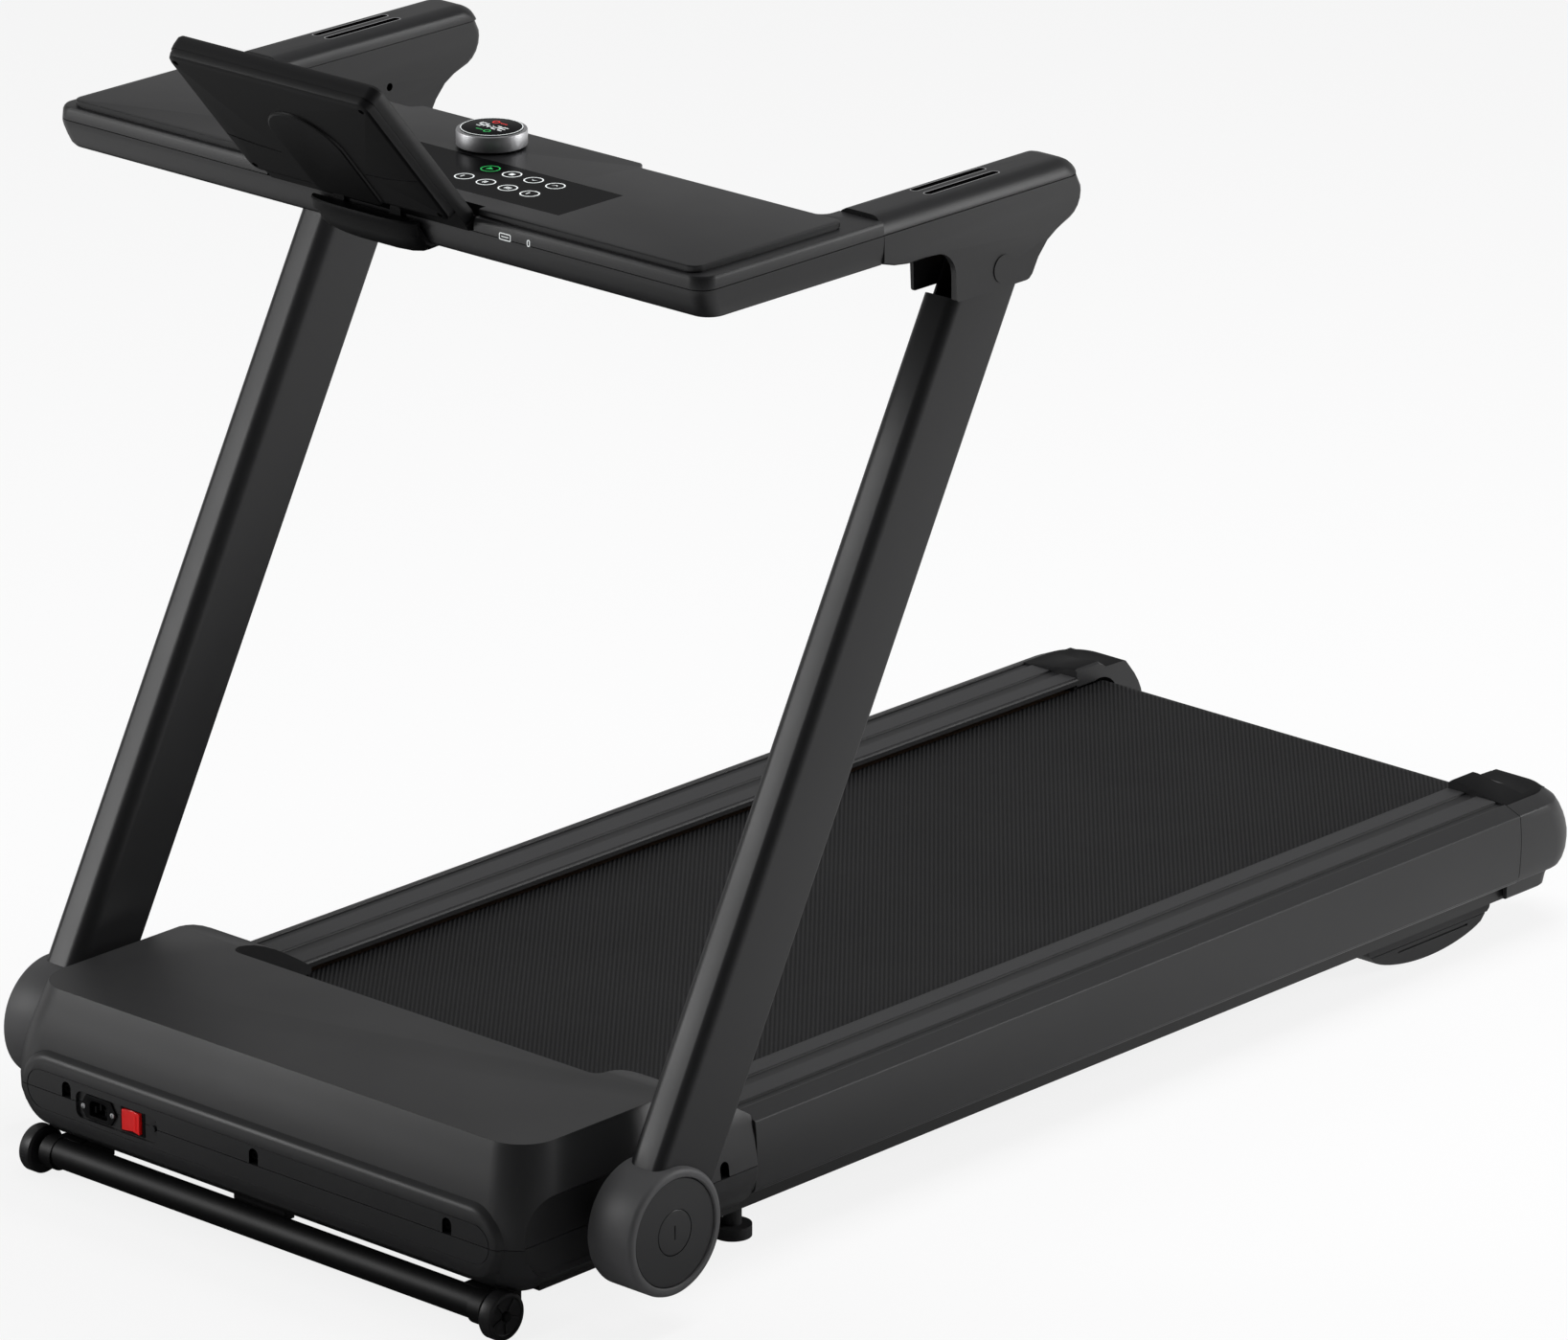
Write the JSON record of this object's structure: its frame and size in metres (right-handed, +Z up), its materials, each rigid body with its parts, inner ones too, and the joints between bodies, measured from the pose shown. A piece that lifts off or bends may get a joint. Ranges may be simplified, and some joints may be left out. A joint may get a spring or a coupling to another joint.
{
  "type": "folding home treadmill",
  "caption": "Low folding treadmill with a wide ribbed belt, two leaning uprights on round side hubs and a flat console with a tablet holder and a speed knob",
  "frame": {"origin": "on the floor, at the middle of the object", "axes": "+X to the left of a user who faces the console, +Y from the hood towards the rear of the deck, +Z up"},
  "size_m": [0.85, 1.59, 1.1687],
  "materials": {
    "black_plastic": "fine satin grain",
    "dark_plastic": "satin",
    "dark_steel": "satin powder coat",
    "bright_steel": "turned",
    "board": "phenolic faced",
    "rubber": "matte",
    "belt_rubber": "ribbed",
    "red_plastic": "gloss",
    "bronze": "plain",
    "black_glass": "gloss",
    "ring_metal": "polished"
  },
  "bodies": {
    "base": {"frame_rail_left": "dark_steel", "frame_rail_right": "dark_steel", "crossmembers": "dark_steel", "deck_board": "board", "deck_cushions": "rubber", "running_belt": "belt_rubber", "roller_axles": "bright_steel", "tension_bolts": "bright_steel", "motor": "dark_steel", "motor_bracket": "dark_steel", "drive_belt": "rubber", "controller": "dark_plastic", "hood_cover": "black_plastic", "hood_pan": "black_plastic", "cover_screws": "bright_steel", "power_inlet": "dark_plastic", "switch_frame": "dark_plastic", "reset_breaker": "dark_plastic", "side_skirt_left": "black_plastic", "side_skirt_right": "black_plastic", "rail_cover_left": "dark_plastic", "rail_cover_right": "dark_plastic", "grip_strips": "rubber", "rear_cap_left": "dark_plastic", "rear_cap_right": "dark_plastic", "rear_feet": "rubber", "front_feet": "rubber", "transport_bar": "dark_steel", "pivot_shafts": "bright_steel"},
    "front_roller": {"front_roller": "bright_steel", "front_roller_bearings": "bright_steel", "roller_pulley": "dark_plastic"},
    "rear_roller": {"rear_roller": "bright_steel", "rear_roller_bearings": "bright_steel"},
    "motor_rotor": {"motor_pulley": "bright_steel"},
    "rocker": {"switch_rocker": "red_plastic"},
    "breaker_button": {"reset_button": "dark_plastic"},
    "wheel_left": {"transport_wheel_left": "dark_plastic"},
    "wheel_right": {"transport_wheel_right": "dark_plastic"},
    "uprights": {"post_left": "dark_steel", "post_right": "dark_steel", "hub_left": "black_plastic", "hub_right": "black_plastic", "hub_caps": "black_plastic", "pivot_bushes": "bronze"},
    "button_left": {"lock_button_left": "dark_plastic"},
    "button_right": {"lock_button_right": "dark_plastic"},
    "links": {"link_rods": "bright_steel"},
    "console": {"console_base": "black_plastic", "console_frame": "black_plastic", "top_plate": "dark_plastic", "touch_panel": "black_glass", "handle_brackets": "black_plastic", "handle_covers": "black_plastic", "pulse_sensors": "ring_metal", "pivot_pins": "bright_steel", "holder_mount": "black_plastic", "knob_display": "black_glass"},
    "knob": {"knob_ring": "ring_metal"},
    "holder": {"tablet_holder": "black_plastic"}
  },
  "joints": [
    {"name": "fold", "type": "hinge", "parent": "base", "child": "uprights", "pos_m": [0, -0.652, 0.1014], "axis": [-1, 0, 0], "range_deg": [0, 57.5]},
    {"name": "console_level", "type": "hinge", "parent": "uprights", "child": "console", "pos_m": [0, -0.20308, 0.93864], "axis": [-1, 0, 0], "range_deg": [-57.5, 0]},
    {"name": "link_swing", "type": "hinge", "parent": "base", "child": "links", "pos_m": [0, -0.667, 0.12738], "axis": [-1, 0, 0], "range_deg": [0, 57.5]},
    {"name": "speed_knob", "type": "hinge", "parent": "console", "child": "knob", "pos_m": [0, -0.45058, 1.02724], "axis": [0, 0, 1], "continuous": true},
    {"name": "tablet_tilt", "type": "hinge", "parent": "console", "child": "holder", "pos_m": [0, -0.60988, 1.01294], "axis": [1, 0, 0], "range_deg": [-25, 15]},
    {"name": "power_rocker", "type": "hinge", "parent": "base", "child": "rocker", "pos_m": [-0.1675, -0.7805, 0.0935], "axis": [0, 0, 1], "range_deg": [-9, 9]},
    {"name": "reset_press", "type": "slide", "parent": "base", "child": "breaker_button", "axis": [0, 1, 0], "range_m": [0, 0.002], "stiffness_N_per_m": 200},
    {"name": "lock_left", "type": "slide", "parent": "uprights", "child": "button_left", "axis": [1, 0, 0], "range_m": [0, 0.004], "stiffness_N_per_m": 600},
    {"name": "wheel_roll_left", "type": "hinge", "parent": "base", "child": "wheel_left", "pos_m": [-0.31, -0.771, 0.024], "axis": [1, 0, 0], "continuous": true},
    {"name": "lock_right", "type": "slide", "parent": "uprights", "child": "button_right", "axis": [-1, 0, 0], "range_m": [0, 0.004], "stiffness_N_per_m": 600},
    {"name": "wheel_roll_right", "type": "hinge", "parent": "base", "child": "wheel_right", "pos_m": [0.31, -0.771, 0.024], "axis": [1, 0, 0], "continuous": true},
    {"name": "front_roller_spin", "type": "hinge", "parent": "base", "child": "front_roller", "pos_m": [0, -0.607, 0.1076], "axis": [1, 0, 0], "continuous": true},
    {"name": "rear_roller_spin", "type": "hinge", "parent": "base", "child": "rear_roller", "pos_m": [0, 0.726, 0.1076], "axis": [1, 0, 0], "continuous": true},
    {"name": "motor_spin", "type": "hinge", "parent": "base", "child": "motor_rotor", "pos_m": [0.262, -0.71, 0.115], "axis": [1, 0, 0], "continuous": true}
  ],
  "couplings": [
    {"joint": "console_level", "follows": "fold", "ratio": -1},
    {"joint": "link_swing", "follows": "fold", "ratio": 1},
    {"joint": "rear_roller_spin", "follows": "front_roller_spin", "ratio": 1},
    {"joint": "motor_spin", "follows": "front_roller_spin", "ratio": 2.5714}
  ]
}
